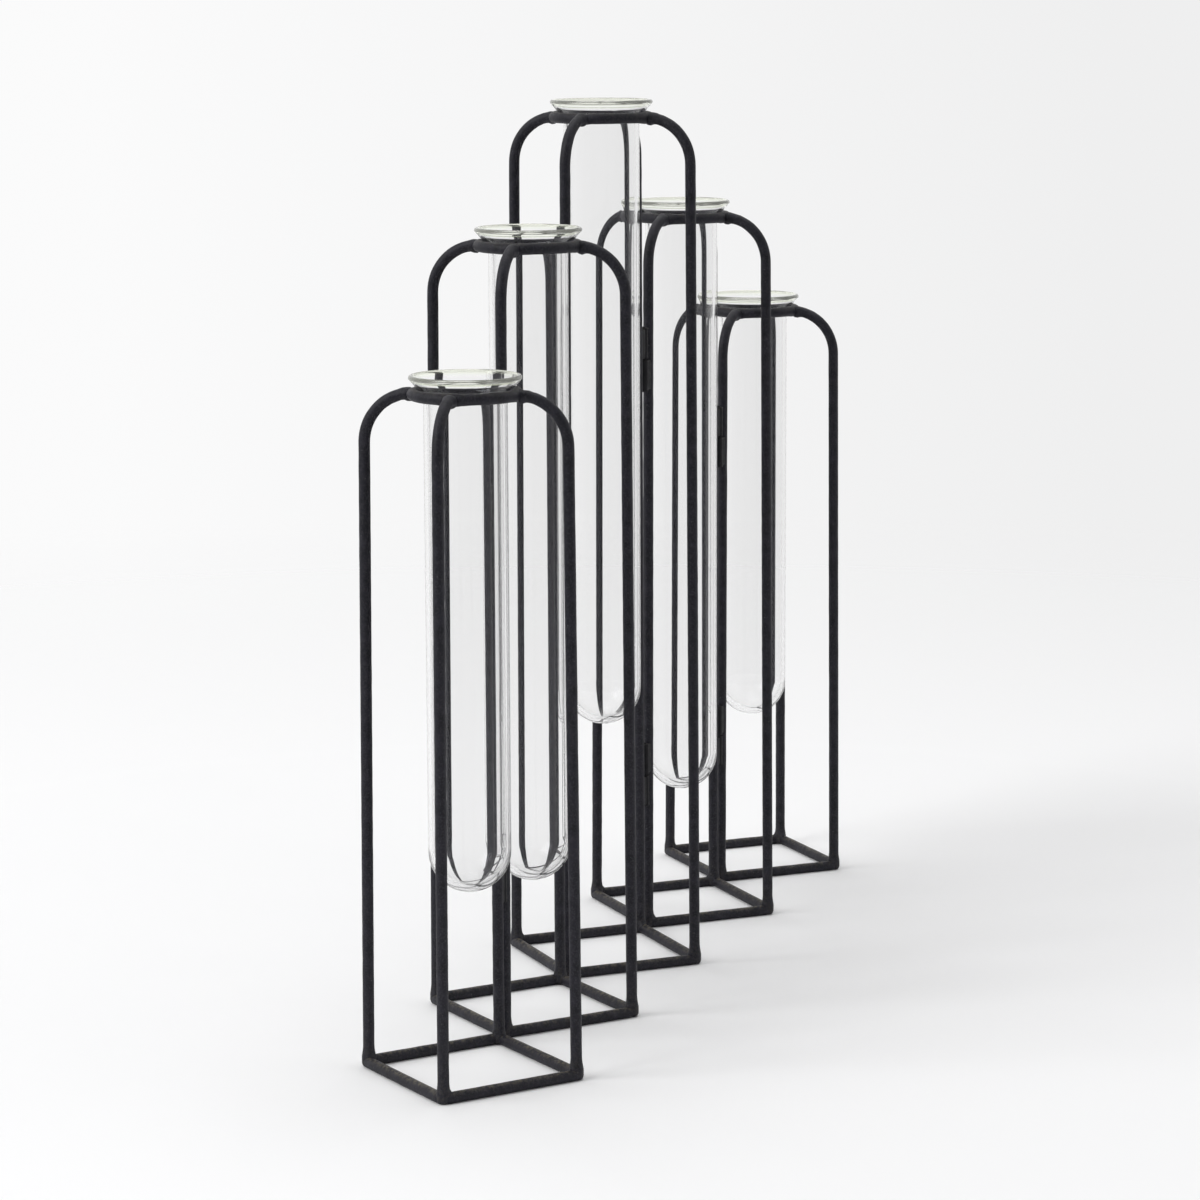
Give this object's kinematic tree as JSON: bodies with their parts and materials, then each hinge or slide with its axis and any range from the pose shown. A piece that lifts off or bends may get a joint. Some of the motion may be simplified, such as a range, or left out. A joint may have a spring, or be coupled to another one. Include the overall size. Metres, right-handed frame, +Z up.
{
  "type": "test tube vase",
  "caption": "Hinged row of open rod frames of stepped height, each holding a clear round-bottomed glass tube by its flared lip, for single stems.",
  "frame": {"origin": "middle of the row's box, on the surface that it stands on", "axes": "+X along the row from frame 1 to frame 5, +Z up, +Y across the row"},
  "size_m": [0.3472, 0.0742, 0.277],
  "materials": {
    "rod": "matt, lightly textured",
    "hinge_metal": "matt",
    "glass": "clear, polished"
  },
  "bodies": {
    "frame_1": {"frame_1_base": "rod", "frame_1_collar": "rod", "frame_1_right_leg": "rod", "frame_1_front_leg": "rod", "frame_1_left_leg": "rod", "frame_1_back_leg": "rod", "hinge_1_2_upper_top_knuckle": "hinge_metal", "hinge_1_2_lower_bottom_knuckle": "hinge_metal", "hinge_1_2_lower_pin": "hinge_metal"},
    "frame_2": {"frame_2_base": "rod", "frame_2_collar": "rod", "frame_2_right_leg": "rod", "frame_2_front_leg": "rod", "frame_2_left_leg": "rod", "frame_2_back_leg": "rod", "hinge_1_2_upper_bottom_knuckle": "hinge_metal", "hinge_1_2_upper_pin": "hinge_metal", "hinge_1_2_lower_top_knuckle": "hinge_metal", "hinge_2_3_upper_top_knuckle": "hinge_metal", "hinge_2_3_lower_bottom_knuckle": "hinge_metal", "hinge_2_3_lower_pin": "hinge_metal"},
    "frame_3": {"frame_3_base": "rod", "frame_3_collar": "rod", "frame_3_right_leg": "rod", "frame_3_front_leg": "rod", "frame_3_left_leg": "rod", "frame_3_back_leg": "rod", "hinge_2_3_upper_bottom_knuckle": "hinge_metal", "hinge_2_3_upper_pin": "hinge_metal", "hinge_2_3_lower_top_knuckle": "hinge_metal", "hinge_3_4_upper_top_knuckle": "hinge_metal", "hinge_3_4_lower_bottom_knuckle": "hinge_metal", "hinge_3_4_lower_pin": "hinge_metal"},
    "frame_4": {"frame_4_base": "rod", "frame_4_collar": "rod", "frame_4_right_leg": "rod", "frame_4_front_leg": "rod", "frame_4_left_leg": "rod", "frame_4_back_leg": "rod", "hinge_3_4_upper_bottom_knuckle": "hinge_metal", "hinge_3_4_upper_pin": "hinge_metal", "hinge_3_4_lower_top_knuckle": "hinge_metal", "hinge_4_5_upper_top_knuckle": "hinge_metal", "hinge_4_5_lower_bottom_knuckle": "hinge_metal", "hinge_4_5_lower_pin": "hinge_metal"},
    "frame_5": {"frame_5_base": "rod", "frame_5_collar": "rod", "frame_5_right_leg": "rod", "frame_5_front_leg": "rod", "frame_5_left_leg": "rod", "frame_5_back_leg": "rod", "hinge_4_5_upper_bottom_knuckle": "hinge_metal", "hinge_4_5_upper_pin": "hinge_metal", "hinge_4_5_lower_top_knuckle": "hinge_metal"},
    "tube_1": {"tube_1": "glass"},
    "tube_2": {"tube_2": "glass"},
    "tube_3": {"tube_3": "glass"},
    "tube_4": {"tube_4": "glass"},
    "tube_5": {"tube_5": "glass"}
  },
  "joints": [
    {"name": "hinge_2_3", "type": "hinge", "parent": "frame_3", "child": "frame_2", "pos_m": [-0.03527, 0.00551, 0], "axis": [0, 0, 1], "range_deg": [-97.5, 82.5]},
    {"name": "hinge_3_4", "type": "hinge", "parent": "frame_3", "child": "frame_4", "pos_m": [0.03488, 0.00184, 0], "axis": [0, 0, 1], "range_deg": [-90, 90]},
    {"name": "hinge_1_2", "type": "hinge", "parent": "frame_2", "child": "frame_1", "pos_m": [-0.10531, 0, 0], "axis": [0, 0, -1], "range_deg": [-88.5, 91.5]},
    {"name": "hinge_4_5", "type": "hinge", "parent": "frame_4", "child": "frame_5", "pos_m": [0.10503, -0.00184, 0], "axis": [0, 0, -1], "range_deg": [-90, 90]},
    {"name": "tube_1_lift", "type": "slide", "parent": "frame_1", "child": "tube_1", "axis": [0, 0, 1], "range_m": [0, 0.155]},
    {"name": "tube_2_lift", "type": "slide", "parent": "frame_2", "child": "tube_2", "axis": [0, 0, 1], "range_m": [0, 0.205]},
    {"name": "tube_3_lift", "type": "slide", "parent": "frame_3", "child": "tube_3", "axis": [0, 0, 1], "range_m": [0, 0.205]},
    {"name": "tube_4_lift", "type": "slide", "parent": "frame_4", "child": "tube_4", "axis": [0, 0, 1], "range_m": [0, 0.205]},
    {"name": "tube_5_lift", "type": "slide", "parent": "frame_5", "child": "tube_5", "axis": [0, 0, 1], "range_m": [0, 0.155]}
  ]
}
